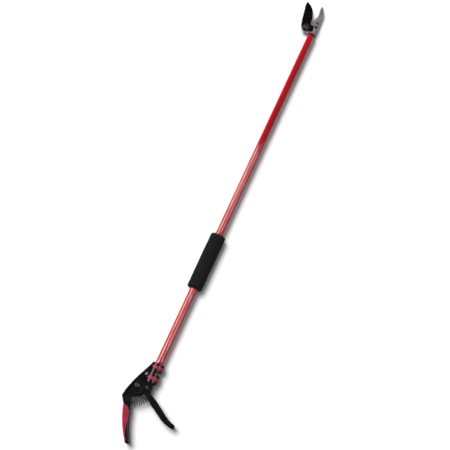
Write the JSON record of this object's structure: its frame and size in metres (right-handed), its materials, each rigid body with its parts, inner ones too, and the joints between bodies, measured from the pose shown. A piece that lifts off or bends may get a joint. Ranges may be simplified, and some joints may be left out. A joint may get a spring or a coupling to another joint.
{
  "type": "long-reach bypass pruner",
  "caption": "Long-reach bypass pruner: a fixed pole with a hooked shear at the head, a sprung squeeze handle at the foot, a pull rod inside the pole and a foam hand grip.",
  "frame": {"origin": "under the middle of the tool as it lies on its side: centre of the bounding box in X and Y, and the level of the lowest point of the foam grip in Z", "axes": "+Y along the pole from the handle to the shear head, +Z square to the flat side of the shear and the handle, +X towards the side that the moving lever opens to"},
  "size_m": [0.143, 1.2491, 0.0382],
  "materials": {
    "red_paint": "gloss",
    "foam": "matte closed-cell foam",
    "nylon": "moulded",
    "zinc_steel": "zinc plated",
    "dark_steel": "black oxide",
    "bright_steel": "satin",
    "cast_alloy": "as cast",
    "coated_blade": "low-friction gloss coating",
    "black_casting": "satin enamel",
    "black_lever": "satin enamel",
    "red_rubber": "satin elastomer",
    "bronze": "sintered bronze",
    "spring_steel": "oiled spring wire"
  },
  "bodies": {
    "pole": {"pole_tube": "red_paint", "foam_grip": "foam", "rod_guides": "nylon", "tube_foot_bush": "nylon", "head_plug": "cast_alloy", "head_screws": "dark_steel", "tube_end_ring": "nylon", "hook_blade": "bright_steel", "blade_stop_pin": "dark_steel", "blade_washer": "dark_steel", "blade_bolt": "dark_steel", "blade_nut": "dark_steel", "handle_body": "black_casting", "collar_screws": "dark_steel", "collar_band_lower": "red_rubber", "collar_band_upper": "red_rubber", "grip_pad": "red_rubber", "lever_washers": "nylon", "lever_bolt": "dark_steel", "lever_nut": "dark_steel", "return_spring": "spring_steel"},
    "lever": {"lever": "black_lever", "lever_bush": "bronze"},
    "rod": {"pull_rod": "zinc_steel", "rod_foot_eye": "zinc_steel", "rod_jam_nut": "zinc_steel", "rod_foot_pin": "dark_steel", "rod_head_link": "bright_steel", "link_rivets": "bright_steel", "rod_head_pin": "dark_steel"},
    "blade": {"cutting_blade": "coated_blade"}
  },
  "joints": [
    {"name": "lever_squeeze", "type": "hinge", "parent": "pole", "child": "lever", "pos_m": [-0.0455, -0.49874, 0.0191], "axis": [0, 0, -1], "range_deg": [0, 32], "stiffness_Nm_per_rad": 1.2, "springref_deg": -11.46, "deforming": ["return_spring"]},
    {"name": "rod_pull", "type": "slide", "parent": "pole", "child": "rod", "axis": [0, -1, 0], "range_m": [0, 0.01396]},
    {"name": "blade_cut", "type": "hinge", "parent": "pole", "child": "blade", "pos_m": [-0.045, 0.54676, 0.0191], "axis": [0, 0, -1], "range_deg": [0, 30.35]}
  ],
  "couplings": [
    {"joint": "rod_pull", "follows": "lever_squeeze", "m_per_rad": 0.024938},
    {"joint": "blade_cut", "follows": "lever_squeeze", "ratio": 0.94684}
  ]
}
